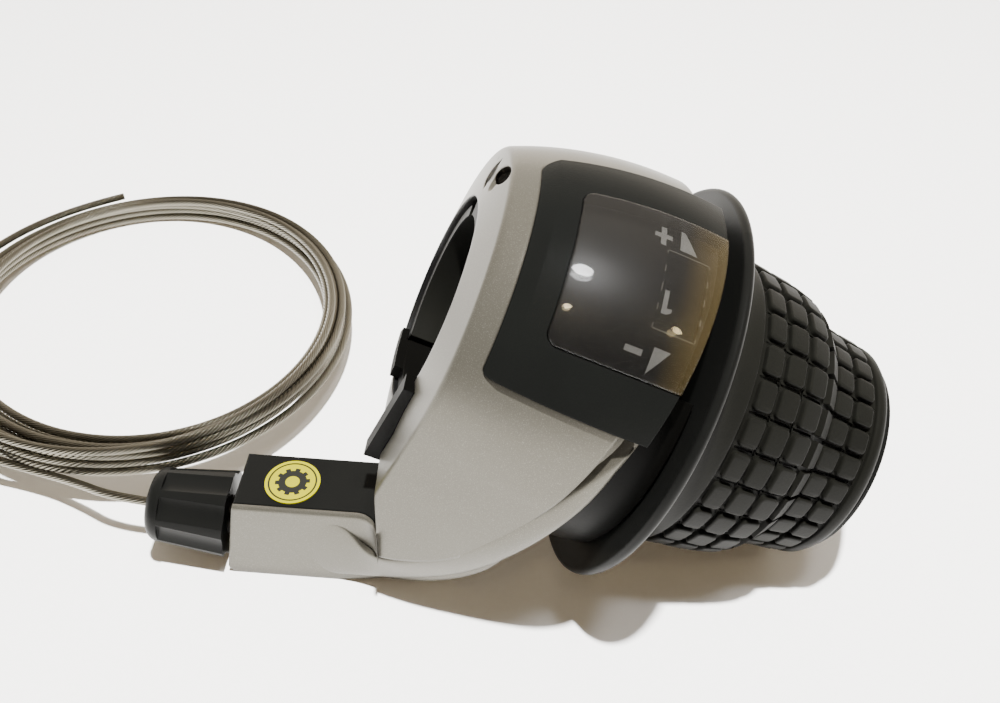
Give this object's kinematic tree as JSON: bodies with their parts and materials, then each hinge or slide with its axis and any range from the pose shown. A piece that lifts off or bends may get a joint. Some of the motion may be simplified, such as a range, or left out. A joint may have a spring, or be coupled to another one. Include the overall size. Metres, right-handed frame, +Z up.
{
  "type": "twist grip shifter",
  "caption": "Bicycle twist grip gear shifter with a barrel housing, gear window, treaded rubber grip, cable arm with barrel adjuster and coiled inner cable.",
  "frame": {"origin": "on the handlebar axis, in the middle of the bar clamp", "axes": "+Z up from the table the shifter lies on, +X to the open end of the grip as seen from above, +Y towards the rider's side; the handlebar axis lies in the XZ plane and drops 23.2 degrees towards +X"},
  "size_m": [0.1437, 0.0895, 0.0538],
  "materials": {
    "silver_shell": "satin",
    "black_plastic": "satin",
    "grey_plastic": "satin",
    "lens": "gloss",
    "dial_print": "matte",
    "yellow_label": "gloss",
    "rubber": "matte",
    "steel": "bright",
    "brass": "satin",
    "natural_plastic": "matte"
  },
  "bodies": {
    "housing": {"main_housing": "silver_shell", "unit_base": "black_plastic", "clamp_strap": "grey_plastic", "clamp_bolt": "steel", "window_bezel": "black_plastic", "window_lens": "lens", "dial_mask": "dial_print", "arm_cover": "black_plastic", "arm_label": "yellow_label", "adjuster_nut": "brass", "cable_guide": "natural_plastic", "cable_lead": "steel", "index_spring": "steel", "thrust_washer": "natural_plastic", "end_ring": "grey_plastic", "gear_cable": "steel", "cable_coil": "steel"},
    "twist": {"grip_core": "black_plastic", "grip_rubber": "rubber", "cable_winder": "natural_plastic", "cable_wrap": "steel", "cable_nipple": "brass", "index_ring": "natural_plastic", "number_ring": "dial_print"},
    "adjuster_shuttle": {"cable_liner": "natural_plastic"},
    "adjuster": {"adjuster_knob": "black_plastic", "adjuster_screw": "steel"}
  },
  "joints": [
    {"name": "grip_twist", "type": "hinge", "parent": "housing", "child": "twist", "pos_m": [0, 0, 0], "axis": [-0.9192, 0, 0.3939], "range_deg": [0, 126]},
    {"name": "adjuster_travel", "type": "slide", "parent": "housing", "child": "adjuster_shuttle", "axis": [-0.9945, 0, 0.1045], "range_m": [0, 0.0032]},
    {"name": "adjuster_turn", "type": "hinge", "parent": "adjuster_shuttle", "child": "adjuster", "pos_m": [-0.029, -0.0126, -0.02753], "axis": [-0.9945, 0, 0.1045], "range_deg": [0, 1441]}
  ],
  "couplings": [
    {"joint": "adjuster_turn", "follows": "adjuster_travel", "rad_per_m": 7854}
  ]
}
